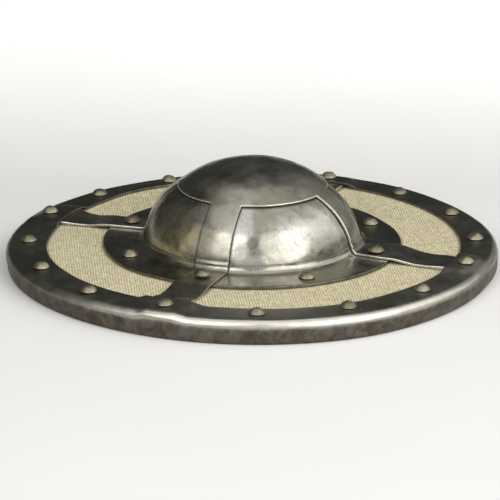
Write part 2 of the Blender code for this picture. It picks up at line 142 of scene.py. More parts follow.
# The saddles, where the rim is dressed up over the arms: each is (half width of the raised part at
# the rim's inner edge, clockwise and counter-clockwise, half width at its outer edge, ramp
# clockwise, ramp counter-clockwise, share of the rise left at the outer edge), lengths in mm
SADDLES = {
    0: (13.3, 16.5, 10.0, 12.0, 12.0, 0.20),
    1: (17.4, 16.5, 10.0, 12.0, 12.0, 0.15),
    2: (20.0, 16.5, 10.0, 12.0, 12.0, 0.20),
    3: (18.3, 13.6, 9.0, 9.0, 13.0, 0.62),
}
SADDLE_FALL = (167.0 * MM, 177.0 * MM)  # where the rise falls off, outside the rivets

# Edges of sheet metal, cut by hand and rubbed down
EDGE_ROUND = 0.45 * MM
CROSS_ROUND = 0.5 * MM
EDGE_STEPS = 3
EDGE_SHADE_AND_DIRT = 2.2 * MM  # width of the painted shade and dirty deposits along an edge, on what lies under it
ARM_RUB_AND_HIGHLIGHT = (1, 1, 1, 0)  # whether an arm's edges are rubbed bright with a painted highlight; the arm whose edges lie in shade has none

# The cross is dressed down thinner towards the cap's edge and on each arm, and is thick at the rim
CAP_THINNED = 0.9 * MM
ARM_THINNED = (0.6 * MM, 0.9 * MM, 0.6 * MM, 1.4 * MM)
CAP_THIN_RUN = 16.0 * MM
ARM_THIN_RUN = 12.0 * MM
THICK_AGAIN = (RIM_INNER_RADIUS - 16 * MM, RIM_INNER_RADIUS - 5 * MM)

# How many points the cross has across an arm and in one turn from an arm to the next
ARM_COLUMNS = 18
PANEL_COLUMNS = 64
ARM_POINTS = ARM_COLUMNS - 1 + 2 * (EDGE_STEPS + 1)
TURN_POINTS = ARM_POINTS + PANEL_COLUMNS - 1

# Half an arm's width, (distance along it, half width) in mm, on its clockwise and its
# counter-clockwise side. The sheet was cut by hand, so no two sides are alike.
ARM_SIDES = {
    0: (
        ((54, 9.8), (68, 8.5), (81, 8.4), (91, 9.8), (101, 11.1), (125, 11.4), (152, 11.8), (172, 8)),
        (
            (54, 11), (70, 12), (84, 15), (98, 20), (106, 23), (116, 20), (126, 18), (138, 16.4), (152, 15),
            (172, 9),
        ),
    ),
    1: (
        ((54, 11), (80, 12.4), (110, 14), (126, 13.6), (140, 14.2), (148, 15.4), (153, 16), (172, 9)),
        ((54, 11), (80, 12.4), (110, 13.4), (126, 13.2), (144, 14), (153, 15), (172, 9)),
    ),
    2: (
        (
            (54, 11), (80, 10.6), (108, 10.6), (122, 12.4), (132, 13.2), (141, 15.6), (148, 18.6),
            (154, 18.6), (172, 9),
        ),
        ((54, 11), (80, 10), (104, 12), (116, 12.6), (128, 12.9), (140, 13.9), (153, 15), (172, 9)),
    ),
    3: (
        (
            (54, 11), (66, 11.2), (78, 12.2), (110, 14.6), (126, 14.6), (138, 15), (146, 16), (154, 17),
            (172, 8),
        ),
        ((54, 12.3), (66, 12.3), (80, 12.6), (110, 12.4), (154, 12.1), (172, 8)),
    ),
}

# Rivets
RIVET_HEAD_HEIGHT = 4.1 * MM
RIVET_SHANK_RADIUS = 2.0 * MM
RIVET_TAIL_RADIUS = 3.4 * MM
RIVET_FACETS = 0.45 * MM  # depth of the hammering on a head
RIVET_LEAN = 0.045  # largest slope of a head's top
RIVET_WAVER = 0.05  # share by which a head is out of round

# Board and grip
BOARD_TOP_CHAMFER = 4.0 * MM
BOARD_BACK_CHAMFER = 2.0 * MM
HOLE_ROUND = 1.0 * MM
GRIP_END = 6.0 * MM  # thickness of the ends that are let into the board
GRIP_RISE = 18.0 * MM  # length over which an end swells to full thickness
GRIP_CLEARANCE = 3.0 * MM  # from the hole's edge to the swelling
GRIP_EDGE = 0.4 * MM  # how far the ends' corners are rounded
GRIP_BEVEL = 3.1 * MM  # more, at the back of the swelling
GRIP_CROWN_FLAT = 1.0 * MM
GRIP_CROWN_SHARE = 0.45  # of the thickness that the rounding of the swelling takes
GRIP_WORN = 0.03  # share by which the grip is worn narrower in the middle
GRIP_WORN_HALF = 40.0 * MM

# Surfaces
FACE, EDGE = 0, 1  # material numbers of a sheet-metal piece
WEAVE_PITCH = 1.9 * MM
WEAVE_TURN = math.radians(-63.0)
PAINTED_LIGHT_TURN = math.radians(-45.0)  # painted light: the direction in which the flat steel is painted brighter, with painted shade against it
STAIN_PLACE = (-36 * MM, -66 * MM, 34 * MM)
STAIN_REACH = 34 * MM
BRIGHT_STEEL = (0.80, 0.78, 0.70)
GRIMY_STEEL = (0.15, 0.135, 0.10)

# The camera
CAMERA_BEARING = math.radians(-68.573)
CAMERA_ELEVATION = math.radians(17.8514)
CAMERA_DISTANCE = 2.0650
CAMERA_LENS = 202.28
CAMERA_ROLL = math.radians(0.0957)
CAMERA_SHIFT = (-0.00487, -0.02151)
CAMERA_AIM = (0.0, 0.0, RIM_TOP_Z)

# Soft lights that face the shield: name, degrees to the right of the camera, degrees up, distance,
# width and height in m, power in W and colour
WHITE = (1.0, 0.99, 0.96)
SOFTBOXES = (
    ("right_bank", 44.0, 29.0, 2.2, 2.0, 1.9, 29.0, WHITE),
    ("left_bank", -29.0, 36.0, 2.2, 1.1, 1.3, 13.5, WHITE),
    ("front_bank", 6.0, 14.0, 2.3, 2.2, 0.8, 3.4, WHITE),
    ("top_bank", 20.0, 80.0, 2.2, 3.0, 2.4, 19.8, WHITE),
    ("right_side", 98.0, 32.0, 2.2, 1.8, 1.7, 10.8, WHITE),
    ("right_far", 135.0, 26.0, 2.2, 1.6, 1.3, 2.2, WHITE),
    ("left_side", -66.0, 30.0, 2.2, 1.3, 1.4, 3.4, (1.0, 0.97, 0.92)),
)

# The light on the floor beyond the shield faces away from it, and down
WASH_SIZE = (2.0, 0.5)
WASH_POWER = 13.0
WASH_BEHIND = 0.55
WASH_HEIGHT = 0.9
WASH_DOWN = math.radians(22.0)

FLOOR_REACH = 6.0


# Small helpers

def evenly(low, high, steps):
    return [low + (high - low) * i / steps for i in range(steps + 1)]


def smooth(value, low, high):
    """0 below low, 1 above high, with an eased climb between them."""
    t = min(1.0, max(0.0, (value - low) / (high - low)))
    return t * t * (3 - 2 * t)


def arc(centre, radius, start_deg, end_deg, steps):
    """Points (r, z) on an arc in the plane of a profile."""
    return [
        (centre[0] + radius * math.cos(math.radians(a)), centre[1] + radius * math.sin(math.radians(a)))
        for a in evenly(start_deg, end_deg, steps)
    ]


def side_steps(path, on_axis=False):
    """At each point of a path, the step that moves the path sideways, to its left, by one unit."""
    steps = []
    for i, here in enumerate(path):
        before = path[max(i - 1, 0)]
        after = path[min(i + 1, len(path) - 1)]
        normals = []
        for start, end in ((before, here), (here, after)):
            dr, dz = end[0] - start[0], end[1] - start[1]
            length = math.hypot(dr, dz)
            if length > ON_AXIS:
                normals.append((-dz / length, dr / length))
        nr = sum(n[0] for n in normals) / len(normals)
        nz = sum(n[1] for n in normals) / len(normals)
        square = nr * nr + nz * nz
        steps.append((nr / square, nz / square))
    if on_axis:
        steps[0] = (0.0, 1.0)
    return steps


def through(points, value):
    """The height at value of a smooth curve through (place, height) points."""
    if value <= points[0][0]:
        return points[0][1]
    for i in range(len(points) - 1):
        x0, y0 = points[i]
        x1, y1 = points[i + 1]
        if value > x1:
            continue
        before = points[max(i - 1, 0)]
        after = points[min(i + 2, len(points) - 1)]
        run = x1 - x0
        slope0 = (y1 - before[1]) / (x1 - before[0]) * run
        slope1 = (after[1] - y0) / (after[0] - x0) * run
        t = (value - x0) / run
        return (
            y0 * (2 * t ** 3 - 3 * t ** 2 + 1) + slope0 * (t ** 3 - 2 * t ** 2 + t)
            + y1 * (3 * t ** 2 - 2 * t ** 3) + slope1 * (t ** 3 - t ** 2)
        )
    return points[-1][1]


def by_direction(points, angle):
    """The value at an angle, from a list of (direction in degrees, value)."""
    return through(points, math.degrees(angle) % 360)


def around(points, angle):
    """A length at an angle, from a list of (direction in degrees, mm)."""
    return MM * by_direction(points, angle)


def wave(point, size, seed=0.0):
    """Smooth noise from about -1 to 1, with bumps of about this size."""
    return noise.noise(Vector(point) / size + Vector((seed, seed * 0.37, -seed)))


def new_object(name, data):
    made = bpy.data.objects.new(name, data)
    bpy.context.scene.collection.objects.link(made)
    return made


class Skin:
    """The points and faces of one piece. Each face has the number of its material."""

    def __init__(self):
        self.points = []
        self.marks = {"grime_and_shade": [], "rub_and_highlight": [], "tarnish_and_shade": []}
        self.faces = []
        self.finishes = []

    def row(self, points, **marks):
        """Adds points. marks has a list of shares from 0 to 1 for some of the marks."""
        first = len(self.points)
        self.points += points
        for mark, values in self.marks.items():
            values += marks.get(mark, [0.0] * len(points))
        return list(range(first, first + len(points)))

    def pole(self, point, count):
        """One point, repeated as a row."""
        return self.row([point]) * count

    def strip(self, near, far, around=False, finish=FACE):
        for j in range(len(near) if around else len(near) - 1):
            k = (j + 1) % len(near)
            corners = []
            for corner in (near[j], near[k], far[k], far[j]):
                if corner not in corners:
                    corners.append(corner)
            if len(corners) > 2:
                self.faces.append(corners)
                self.finishes.append(finish)

    def wrap(self, rows):
        """Joins each ring of points to the next."""
        for near, far in zip(rows, rows[1:]):
            self.strip(near, far, around=True)

    def piece(self, name, materials, sharp_deg=40.0):
        """Makes the object, with its faces pointing out."""
        mesh = bpy.data.meshes.new(name)
        mesh.from_pydata(self.points, [], self.faces)
        mesh.polygons.foreach_set("material_index", self.finishes)
        for mark, values in self.marks.items():
            mesh.attributes.new(mark, "FLOAT", "POINT").data.foreach_set("value", values)
        for surface in materials:
            mesh.materials.append(surface)
        work = bmesh.new()
        work.from_mesh(mesh)
        bmesh.ops.remove_doubles(work, verts=work.verts, dist=1e-7)
        bmesh.ops.recalc_face_normals(work, faces=work.faces)
        work.to_mesh(mesh)
        work.free()
        mesh.shade_smooth()
        mesh.set_sharp_from_angle(angle=math.radians(sharp_deg))
        return new_object(name, mesh)


def finish_piece(piece, slot, *nodes):
    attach(piece, "root")
    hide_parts(*nodes)
    return piece


def polar(r, z, angle):
    return (r * math.cos(angle), r * math.sin(angle), z)


# Node helpers

class Nodes:
    """A new material's node tree, with short ways to add to it."""

    def __init__(self, name):
        self.material = bpy.data.materials.new(name)
        self.material.use_nodes = True
        self.tree = self.material.node_tree
        self.shader = self.tree.nodes["Principled BSDF"]
        self.place = self.add("ShaderNodeTexCoord").outputs["Object"]

    def add(self, kind, **settings):
        made = self.tree.nodes.new(kind)
        for key, value in settings.items():
            setattr(made, key, value)
        return made

    def link(self, source, target):
        self.tree.links.new(source, target)

    def stretched(self, scale, turn=(0.0, 0.0, 0.0)):
        """The object's coordinates, turned and then scaled along each axis."""
        mapping = self.add("ShaderNodeMapping", vector_type="TEXTURE")
        mapping.inputs["Rotation"].default_value = turn
        mapping.inputs["Scale"].default_value = tuple(1 / s for s in scale)
        self.link(self.place, mapping.inputs["Vector"])
        return mapping.outputs["Vector"]

    def noise(self, size, detail=4.0, roughness=0.55, distortion=0.0, place=None):
        """Noise from 0 to 1, with bumps of about this size."""
        made = self.add("ShaderNodeTexNoise")
        made.inputs["Scale"].default_value = 1 / size
        made.inputs["Detail"].default_value = detail
        made.inputs["Roughness"].default_value = roughness
        made.inputs["Distortion"].default_value = distortion
        self.link(place or self.place, made.inputs["Vector"])
        return made.outputs["Fac"]

    def cells(self, size):
        """The distance from the middles of rounded cells of about this size."""
        made = self.add("ShaderNodeTexVoronoi", feature="SMOOTH_F1")
        made.inputs["Scale"].default_value = 1 / size
        self.link(self.place, made.inputs["Vector"])
        return made.outputs["Distance"]

    def ramp(self, source, low, high, out_low=0.0, out_high=1.0):
        """Maps low..high of a value to out_low..out_high, smoothly and clamped."""
        made = self.add("ShaderNodeMapRange", interpolation_type="SMOOTHSTEP")
        for key, value in (("From Min", low), ("From Max", high), ("To Min", out_low), ("To Max", out_high)):
            made.inputs[key].default_value = value
        self.link(source, made.inputs["Value"])
        return made.outputs["Result"]

    def math(self, operation, first, second=None):
        """One sum. Each term is a number or a socket."""
        made = self.add("ShaderNodeMath", operation=operation)
        for socket, value in zip(made.inputs, (first, second)):
            if value is None:
                continue
            if isinstance(value, (int, float)):
                socket.default_value = value
            else:
                self.link(value, socket)
        return made.outputs["Value"]

    def mix(self, share, low, high):
        """A colour between low and high. Each is a colour or a socket."""
        made = self.add("ShaderNodeMix", data_type="RGBA")
        self.link(share, made.inputs["Factor"])
        for name, value in (("A", low), ("B", high)):
            socket = [s for s in made.inputs if s.name == name and s.type == "RGBA"][0]
            if isinstance(value, tuple):
                socket.default_value = (*value, 1.0)
            else:
                self.link(value, socket)
        return [s for s in made.outputs if s.type == "RGBA"][0]

    def bump(self, height, depth, after=None, strength=1.0):
        """Relief this deep, on top of the relief before it."""
        made = self.add("ShaderNodeBump")
        made.inputs["Strength"].default_value = strength
        made.inputs["Distance"].default_value = depth
        self.link(height, made.inputs["Height"])
        if after is not None:
            self.link(after, made.inputs["Normal"])
        return made.outputs["Normal"]

    def mark(self, name):
        """A share from 0 to 1 that the mesh carries: painted shade and dirty deposits along edges, rubbed
        edges with a painted highlight, or a tarnished wall with painted shade.
        """
        return self.add("ShaderNodeAttribute", attribute_name=name).outputs["Fac"]

    def axis(self, source, name):
        split = self.add("ShaderNodeSeparateXYZ")
        self.link(source, split.inputs["Vector"])
        return split.outputs[name]

    def out(self, colour, roughness=None, normal=None):
        self.link(colour, self.shader.inputs["Base Color"])
        if roughness is not None:
            self.link(roughness, self.shader.inputs["Roughness"])
        if normal is not None:
            self.link(normal, self.shader.inputs["Normal"])
        return self.material

    def normal_z(self):
        """How much a face looks up, from -1 to 1."""
        return self.axis(self.add("ShaderNodeNewGeometry").outputs["Normal"], "Z")


# Materials

def scratches(n, turn_deg, size=0.9 * MM, length=60.0 * MM, low=0.66, high=0.74):
    """Fine straight scratches in one direction, as a mask."""
    place = n.stretched((1.0, size / length, 1.0), (0.0, 0.0, math.radians(turn_deg)))
    return n.ramp(n.noise(size, 2.0, 0.6, 0.0, place), low, high)


def painted_side_light(n, colour):
    """Flat steel painted darker to one side of the shield and brighter to the other: painted shade and
    painted light.
    """
    across = n.axis(n.stretched((1.0, 1.0, 1.0), (0.0, 0.0, PAINTED_LIGHT_TURN)), "X")
    # painted shade on one side and painted light on the other, along one fixed direction
    colour = n.mix(n.ramp(across, -150 * MM, 80 * MM, 0.45, 0.0), colour, (0.08, 0.08, 0.065))
    return n.mix(n.ramp(across, 60 * MM, 150 * MM, 0.0, 0.2), colour, BRIGHT_STEEL)


def golden(n, colour):
    """Steel with a golden stain round one place of the dome."""
    apart = n.add("ShaderNodeVectorMath", operation="DISTANCE")
    n.link(n.place, apart.inputs[0])
    apart.inputs[1].default_value = STAIN_PLACE
    near = n.ramp(apart.outputs["Value"], 0.35 * STAIN_REACH, STAIN_REACH, 1.0, 0.0)
    patch = n.ramp(n.noise(12 * MM, 5.0, 0.7, 1.0), 0.36, 0.62, 0.1, 0.75)
    return n.mix(n.math("MULTIPLY", near, patch), colour, (0.74, 0.62, 0.31))


def plate(name, light, dark, rubbed, stained=False):
    """A new metal, cloudy and tarnished, with grimy streaks and small dark pits, rubbed bright at its edges,
    which is partly a painted highlight.
    """
    n = Nodes(name)
    n.shader.inputs["Metallic"].default_value = 1.0
    clouds = n.ramp(n.noise(34 * MM, 5.0, 0.62, 0.6), 0.38, 0.64)
    colour = n.mix(clouds, dark, light)
    streaks = n.ramp(n.noise(8 * MM, 6.0, 0.68, 1.4), 0.50, 0.72, 0.0, 0.45)
    colour = n.mix(streaks, colour, GRIMY_STEEL)
    if stained:
        colour = golden(n, colour)
    pits = n.ramp(n.noise(1.6 * MM, 2.0, 0.5), 0.70, 0.78)
    colour = n.mix(pits, colour, (0.05, 0.045, 0.035))
    uneven = n.ramp(n.noise(13 * MM, 5.0, 0.65, 0.8), 0.34, 0.62, 0.75, 1.0)
    # rubbed bright edges and crest: partly wear, partly a painted highlight
    colour = n.mix(n.math("MULTIPLY", n.mark("rub_and_highlight"), uneven), colour, rubbed)
    return n, clouds, colour


def hammered(n, colour, rough_range, tarnish_and_shade=None):
    """The metal's painted shade and dirty deposits along edges, its roughness, and its relief of hammer
    marks and fine scratches.
    """
    # painted shade with dirty deposits along the edges of what lies on top
    colour = n.mix(n.mark("grime_and_shade"), colour, (0.035, 0.028, 0.018))
    marks = n.math("MAXIMUM", scratches(n, 24), scratches(n, -51, 0.7 * MM, 40 * MM, 0.69, 0.76))
    rough = n.ramp(n.noise(16 * MM, 5.0, 0.65), 0.3, 0.7, *rough_range)
    rough = n.math("ADD", rough, n.math("MULTIPLY", marks, 0.10))
    rough = n.math("ADD", rough, n.math("MULTIPLY", n.mark("grime_and_shade"), 0.3))
    if tarnish_and_shade:
        rough = n.math("ADD", rough, n.math("MULTIPLY", tarnish_and_shade, 0.2))
    normal = n.bump(n.cells(11 * MM), 0.35 * MM, None, 0.35)
    normal = n.bump(n.noise(5 * MM, 4.0, 0.6), 0.10 * MM, normal, 0.5)
    normal = n.bump(n.noise(0.8 * MM, 3.0, 0.6), 0.02 * MM, normal, 0.6)
    normal = n.bump(n.math("MULTIPLY", marks, -1.0), 0.02 * MM, normal, 0.6)
    return n.out(colour, rough, normal)


def boss_steel():
    """Polished on the dome, which is darker where it is seen edge on, and duller on the flange, which is
    painted darker to one side and brighter to the other.
    """
    light, dark = (0.58, 0.575, 0.54), (0.36, 0.345, 0.28)
    n, clouds, colour = plate("boss_steel", light, dark, BRIGHT_STEEL, stained=True)
    low = n.ramp(n.axis(n.place, "Z"), FLANGE_TOP_Z + 1.5 * MM, FLANGE_TOP_Z + 7 * MM, 0.85, 0.0)
    dull = n.mix(clouds, (0.27, 0.26, 0.215), (0.40, 0.39, 0.325))
    # the dome's foot and the flange, painted darker to one side and brighter to the other
    colour = n.mix(low, colour, painted_side_light(n, dull))
    n.link(n.mix(low, (0.40, 0.39, 0.34), (1.0, 1.0, 1.0)), n.shader.inputs["Specular Tint"])
    return hammered(n, colour, (0.20, 0.34))


def cross_steel():
    n, _, colour = plate("cross_steel", (0.43, 0.415, 0.355), (0.29, 0.275, 0.225), BRIGHT_STEEL)
    return hammered(n, colour, (0.24, 0.38))


def rim_steel():
    """Steel with ragged brown tarnished patches on the rim's wall, also painted shade where the wall would
    show the bright floor; its flat steel is painted darker to one side and brighter to the other.
    """
    n, _, colour = plate("rim_steel", (0.37, 0.365, 0.31), (0.24, 0.235, 0.19), (0.74, 0.72, 0.64))
    ragged = n.math("MULTIPLY", n.math("SUBTRACT", n.noise(11 * MM, 5.0, 0.65, 0.5), 0.5), 0.35)
    # tarnished wall, which is also painted shade where the wall would show the bright floor
    wall = n.ramp(n.math("ADD", n.mark("tarnish_and_shade"), ragged), 0.02, 0.85)
    blotch = n.ramp(n.noise(9 * MM, 5.0, 0.65, 0.8), 0.36, 0.66, 0.80, 1.0)
    tarnish_and_shade = n.math("MULTIPLY", wall, blotch)
    # flat steel painted darker and brighter by direction, under the wall's tarnished colour and painted
    # shade
    colour = n.mix(tarnish_and_shade, painted_side_light(n, colour), (0.092, 0.074, 0.060))
    return hammered(n, colour, (0.28, 0.40), tarnish_and_shade)


def cut_edge(name, bright, dull):
    """The cut edge of a sheet, rubbed."""
    n = Nodes(name)
    n.shader.inputs["Metallic"].default_value = 1.0
    colour = n.mix(n.ramp(n.noise(6 * MM, 5.0, 0.6), 0.35, 0.7), bright, dull)
    rough = n.ramp(n.noise(3 * MM, 3.0, 0.6), 0.3, 0.7, 0.26, 0.42)
    return n.out(colour, rough, n.bump(n.noise(1.2 * MM, 3.0, 0.6), 0.05 * MM))


def rivet_steel():
    """Hammered soft-steel heads, paler and warmer than the plate, with painted shade on the steep sides
    round the foot.
    """
    n = Nodes("peened_rivet_steel")
    n.shader.inputs["Metallic"].default_value = 1.0
    clouds = n.ramp(n.noise(5 * MM, 5.0, 0.6, 0.5), 0.35, 0.68)
    colour = n.mix(clouds, (0.42, 0.39, 0.295), (0.28, 0.255, 0.18))
    each = n.ramp(n.noise(38 * MM, 0.0, 0.5), 0.38, 0.62, 0.0, 0.8)
    colour = n.mix(each, colour, (0.22, 0.195, 0.13))
    # painted shade: the head's steep sides round its foot are coloured darker the more they face sideways
    foot = n.ramp(n.normal_z(), 0.12, 0.60, 0.9, 0.0)
    colour = n.mix(foot, colour, (0.20, 0.165, 0.105))
    rough = n.ramp(n.noise(3 * MM, 3.0, 0.6), 0.3, 0.7, 0.42, 0.58)
    normal = n.bump(n.cells(3.2 * MM), 0.30 * MM, None, 0.5)
    normal = n.bump(n.noise(0.9 * MM, 3.0, 0.6), 0.05 * MM, normal, 0.6)
    return n.out(colour, rough, normal)


def weave(n, turned):
    """Two sets of threads that cross: how far up the thicker set is, and the height of both."""
    split = n.add("ShaderNodeSeparateXYZ")
    n.link(n.stretched((1.0, 1.0, 1.0), turned), split.inputs["Vector"])
    drift = n.math("MULTIPLY", n.noise(10 * MM, 3.0, 0.6), 2.4 * MM)
    turns = []
    for axis in ("X", "Y"):
        along = n.math("ADD", split.outputs[axis], drift)
        turns.append(n.math("SINE", n.math("MULTIPLY", along, 2 * math.pi / WEAVE_PITCH)))
    over = n.math("MULTIPLY", n.math("MULTIPLY", turns[0], turns[1]), 0.35)
    threads = n.math("ADD", turns[1], over)
    height = n.ramp(n.math("ADD", threads, n.math("MULTIPLY", turns[0], 0.35)), -1.3, 1.3)
    return threads, height


def linen_colour(n, threads, slack, turned):
    """Unbleached thread with furrows painted darker as shade, paler and darker slubs, specks and worn
    patches.
    """
    loose = n.math("MULTIPLY", n.math("SUBTRACT", slack, 0.5), 2.2)
    # the thread pattern, with painted shade in the furrows between threads
    furrow_shade = n.ramp(n.math("ADD", threads, loose), -0.7, 0.3)
    colour = n.mix(furrow_shade, (0.45, 0.39, 0.235), (0.76, 0.68, 0.44))
    slubs = n.noise(3.0 * MM, 4.0, 0.75, 0.3, n.stretched((0.5, 1.0, 1.0), turned))
    colour = n.mix(n.ramp(slubs, 0.50, 0.62, 0.0, 0.5), colour, (0.90, 0.825, 0.57))
    colour = n.mix(n.ramp(slubs, 0.36, 0.48, 0.5, 0.0), colour, (0.40, 0.335, 0.19))
    specks = n.ramp(n.noise(1.9 * MM, 2.0, 0.55), 0.60, 0.70, 0.0, 0.8)
    worn = n.ramp(n.noise(40 * MM, 3.0, 0.6), 0.42, 0.60, 0.25, 1.0)
    colour = n.mix(n.math("MULTIPLY", specks, worn), colour, (0.18, 0.145, 0.08))
    patch = n.ramp(n.noise(30 * MM, 4.0, 0.6), 0.46, 0.72, 0.0, 0.28)
    colour = n.mix(patch, colour, (0.42, 0.36, 0.23))
    # painted shade with dirty deposits next to the steel that lies on the canvas
    return n.mix(n.math("MULTIPLY", n.mark("grime_and_shade"), 0.75), colour, (0.10, 0.085, 0.05))


def linen():
    """Coarse plain-woven canvas, painted darker along the steel that lies on it: painted shade with dirty
    deposits.
    """
    n = Nodes("canvas_weave")
    turned = (0.0, 0.0, WEAVE_TURN)
    threads, height = weave(n, turned)
    slack = n.noise(2.6 * MM, 3.0, 0.65)
    n.shader.inputs["Sheen Weight"].default_value = 0.2
    n.shader.inputs["Sheen Roughness"].default_value = 0.5
    n.shader.inputs["Specular IOR Level"].default_value = 0.2
    rough = n.ramp(slack, 0.3, 0.7, 0.82, 0.95)
    normal = n.bump(height, 0.35 * MM, None, 0.55)
    normal = n.bump(n.noise(0.5 * MM, 3.0, 0.7), 0.08 * MM, normal, 0.7)
    return n.out(linen_colour(n, threads, slack, turned), rough, normal)


def wood(name, light, dark, grain_turn_deg, roughness):
    """Straight-grained wood, with fine pores along the grain."""
    n = Nodes(name)
    turn = (0.0, 0.0, math.radians(grain_turn_deg))
    long_place = n.stretched((0.07, 1.0, 1.0), turn)
    rings = n.noise(7 * MM, 4.0, 0.55, 0.9, long_place)
    bands = n.ramp(n.math("SINE", n.math("MULTIPLY", rings, 46.0)), -1.0, 1.0)
    pores = n.ramp(n.noise(0.7 * MM, 3.0, 0.6, 0.0, n.stretched((0.05, 1.0, 1.0), turn)), 0.50, 0.66)
    colour = n.mix(bands, dark, light)
    colour = n.mix(n.ramp(n.noise(60 * MM, 3.0), 0.35, 0.65, 0.0, 0.4), colour, dark)
    colour = n.mix(n.math("MULTIPLY", pores, 0.55), colour, tuple(0.4 * c for c in dark))
    rough = n.ramp(bands, 0.0, 1.0, roughness - 0.06, roughness + 0.08)
    normal = n.bump(bands, 0.10 * MM, None, 0.4)
    normal = n.bump(n.math("MULTIPLY", pores, -1.0), 0.15 * MM, normal, 0.6)
    return n.out(colour, rough, normal)


def pale_floor():
    n = Nodes("pale_floor")
    colour = n.mix(n.ramp(n.noise(0.4, 3.0), 0.3, 0.7), (0.92, 0.92, 0.915), (0.94, 0.94, 0.935))
    n.shader.inputs["Roughness"].default_value = 0.9
    n.shader.inputs["Specular IOR Level"].default_value = 0.1
    return n.out(colour)


# Hammer marks

def dents(point, depth):
    """How far hammering moves the sheet at a point: broad swells and shallow round blows."""
    swell = wave(point, 24 * MM, 3.1) + 0.45 * wave(point, 11 * MM, 7.7)
    blows = noise.voronoi(Vector(point) / (10 * MM))[0][0]
    return depth * (swell + 0.5 * (blows - 0.45))


def boss_dents(r, z, angle):
    """Deep on the dome and light on the flange, with a ripple round the dome's foot."""
    dome = smooth(z, *DOME_FROM)
    point = polar(r, z, angle)
    foot = dome * (1 - smooth(z, DOME_FROM[1], RIPPLE_END_Z))
    ripple = FOOT_RIPPLE * foot * wave(point, 9 * MM, 12.0)
    return dents(point, LIGHT_DENTS + DEEP_DENTS * dome) + ripple


# The boss and the cross lie on one curve

def dome_point(share):
    """A point on the outside of the boss. share goes from 0 at the crown to 1 at the foot."""
    angle = math.pi / 2 * (1 - share)
    r = BOSS_RADIUS * max(0.0, math.cos(angle)) ** (2 / BOSS_WALL_POWER)
    z = FLANGE_BACK_Z + BOSS_HEIGHT * math.sin(angle) ** (2 / BOSS_CROWN_POWER)
    return r, z


def share_at(radius):
    """How far down the dome this radius is, found by halving."""
    low, high = 0.0, 1.0
    for _ in range(HALVINGS):
        middle = (low + high) / 2
        if dome_point(middle)[0] < radius:
            low = middle
        else:
            high = middle
    return high


def wall_path(from_share, steps):
    """The dome from one share down to the flange, with the fillet at its foot."""
    centre = (BOSS_RADIUS + BOSS_FOOT_FILLET, FLANGE_TOP_Z + BOSS_FOOT_FILLET)
    wall = [dome_point(share) for share in evenly(from_share, 1.0, steps)]
    return [p for p in wall if p[1] > centre[1]] + arc(centre, BOSS_FOOT_FILLET, 180, 270, 9)


def full_turn(columns):
    return [2 * math.pi * j / columns for j in range(columns)]


def boss_path():
    """The boss's outside, from the crown to the flange's rounded edge."""
    under_cap = share_at(CAP_RADIUS - CAP_LAP)
    crown = [dome_point(share) for share in evenly(0.0, under_cap, 12)][:-1]
    crown[0] = (0.0, crown[0][1])
    path = crown + wall_path(under_cap, 62)
    return path + [(r, FLANGE_TOP_Z) for r in evenly(path[-1][0], FLANGE_RADIUS - EDGE_ROUND, 13)[1:]]


def boss_ring(skin, columns, r, z, step, depth):
    """One ring of the boss, hammered, at a depth from its outside."""
    if r < ON_AXIS:
        return skin.pole((0.0, 0.0, z + depth), len(columns))
    points, shaded_and_soiled = [], []
    for a in columns:
        d = depth + boss_dents(r, z, a)
        waver = around(FLANGE_WAVER, a) * smooth(r, FLANGE_TRUE_RADIUS, FLANGE_RADIUS)
        points.append(polar(r + step[0] * d + waver, z + step[1] * d, a))
        # painted shade with dirty deposits on the boss along the cross's edges
        shaded_and_soiled.append(shade_and_dirt(open_width(r, a)) if depth == 0 else 0.0)
    return skin.row(points, grime_and_shade=shaded_and_soiled)


def make_boss(face, edge):
    """The raised bowl over the hand hole, with its flange."""
    columns = full_turn(420)
    path = boss_path()
    steps = side_steps(path, on_axis=True)
    skin = Skin()
    outer = [boss_ring(skin, columns, r, z, step, 0.0) for (r, z), step in zip(path, steps)]
    skin.wrap(outer)
    last = outer[-1]
    corner = (FLANGE_RADIUS - EDGE_ROUND, FLANGE_TOP_Z - EDGE_ROUND)
    for r, z in arc(corner, EDGE_ROUND, 90, 0, EDGE_STEPS)[1:] + [(FLANGE_RADIUS, FLANGE_BACK_Z)]:
        row = boss_ring(skin, columns, r, z, (0.0, 1.0), 0.0)
        skin.strip(last, row, around=True, finish=EDGE)
        last = row
    within = list(zip(path, steps))[::2][::-1]
    skin.wrap([last] + [boss_ring(skin, columns, r, z, step, -BOSS_SHEET) for (r, z), step in within])
    return finish_piece(skin.piece("boss_dome", [face, edge]), "satin_steel", "boss")


# The cross

def arm_half_width(arm, side, along):
    """Half an arm's width at a distance from the shield's axis. side is 0 clockwise, 1 counter."""
    return MM * through(ARM_SIDES[arm][side], along / MM)


def saddle_share(arm, r):
    """The share of a saddle's rise that is there at a radius. The arm under it is thinned to suit."""
    return 1 - (1 - SADDLES[arm][-1]) * smooth(r, *SADDLE_FALL)


def open_width(r, angle):
    """How far a point outside the cross is from the nearest edge of it. Under it, this is negative."""
    turn = round(angle / ARM_TURN)
    off = (angle - ARM_TURN * turn) * r
    arm = turn % ARMS
    beside = off - arm_half_width(arm, 1, r) if off > 0 else -off - arm_half_width(arm, 0, r)
    return min(r - CAP_RADIUS, beside)


def shade_and_dirt(gap):
    """Painted shade and dirty deposits along an edge, on what lies under it, at a distance from the edge."""
    return 1 - smooth(gap, 0.0, EDGE_SHADE_AND_DIRT)


